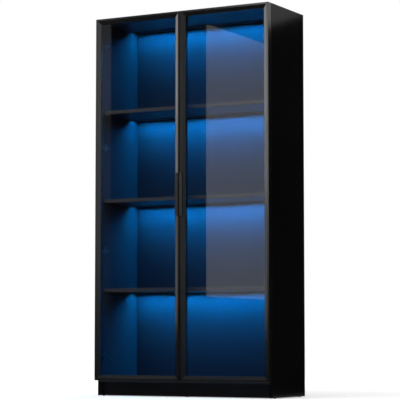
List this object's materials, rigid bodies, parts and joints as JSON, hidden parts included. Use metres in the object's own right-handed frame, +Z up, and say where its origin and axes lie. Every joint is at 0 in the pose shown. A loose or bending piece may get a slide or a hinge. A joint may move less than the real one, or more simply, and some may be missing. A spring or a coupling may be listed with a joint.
{
  "type": "glass-door display cabinet",
  "caption": "Tall black display cabinet with bevel-framed glass doors on concealed hinges, shelves lit by recessed light channels, edge pulls and a set-back toe board.",
  "frame": {"origin": "on the floor, at the middle of the overall width and depth, pulls included", "axes": "+Z up, front towards -Y, +X to the right of a person facing the doors"},
  "size_m": [1.016, 0.4236, 1.98],
  "materials": {
    "board": "black satin melamine",
    "back_board": "black matt laminate",
    "door_frame": "black satin anodised",
    "pull": "black satin anodised",
    "glass": "clear",
    "rubber": "matt black",
    "steel": "black oxide",
    "light_channel": "black anodised",
    "light_tape": "matt",
    "diffuser": "frosted, lit blue",
    "black_plastic": "matt"
  },
  "bodies": {
    "cabinet": {"back_panel": "back_board", "base_brace": "board", "base_rear_rail": "board", "bottom_panel": "board", "door_bumpers": "rubber", "foot_glides": "black_plastic", "led_channel_lower": "light_channel", "led_channel_middle": "light_channel", "led_channel_top": "light_channel", "led_channel_upper": "light_channel", "led_diffuser_lower": "diffuser", "led_diffuser_middle": "diffuser", "led_diffuser_top": "diffuser", "led_diffuser_upper": "diffuser", "led_driver": "black_plastic", "led_tapes": "light_tape", "left_hinge_arms": "steel", "left_hinge_plates": "steel", "left_side_panel": "board", "lower_shelf": "board", "middle_shelf": "board", "power_inlet": "black_plastic", "right_hinge_arms": "steel", "right_hinge_plates": "steel", "right_side_panel": "board", "toe_board": "board", "top_panel": "board", "upper_shelf": "board"},
    "left_door": {"left_door_bottom_rail": "door_frame", "left_door_corner_plates": "steel", "left_door_gasket": "rubber", "left_door_glass": "glass", "left_door_meeting_stile": "door_frame", "left_door_outer_stile": "door_frame", "left_door_pull": "pull", "left_door_top_rail": "door_frame", "left_hinge_housings": "steel", "left_hinge_pins": "steel"},
    "right_door": {"right_door_bottom_rail": "door_frame", "right_door_corner_plates": "steel", "right_door_gasket": "rubber", "right_door_glass": "glass", "right_door_meeting_stile": "door_frame", "right_door_outer_stile": "door_frame", "right_door_pull": "pull", "right_door_top_rail": "door_frame", "right_hinge_housings": "steel", "right_hinge_pins": "steel"}
  },
  "joints": [
    {"name": "left_door_hinge", "type": "hinge", "parent": "cabinet", "child": "left_door", "pos_m": [-0.5015, -0.17525, 1.0305], "axis": [0, 0, -1], "range_deg": [0, 100]},
    {"name": "right_door_hinge", "type": "hinge", "parent": "cabinet", "child": "right_door", "pos_m": [0.5015, -0.17525, 1.0305], "axis": [0, 0, 1], "range_deg": [0, 100]}
  ]
}
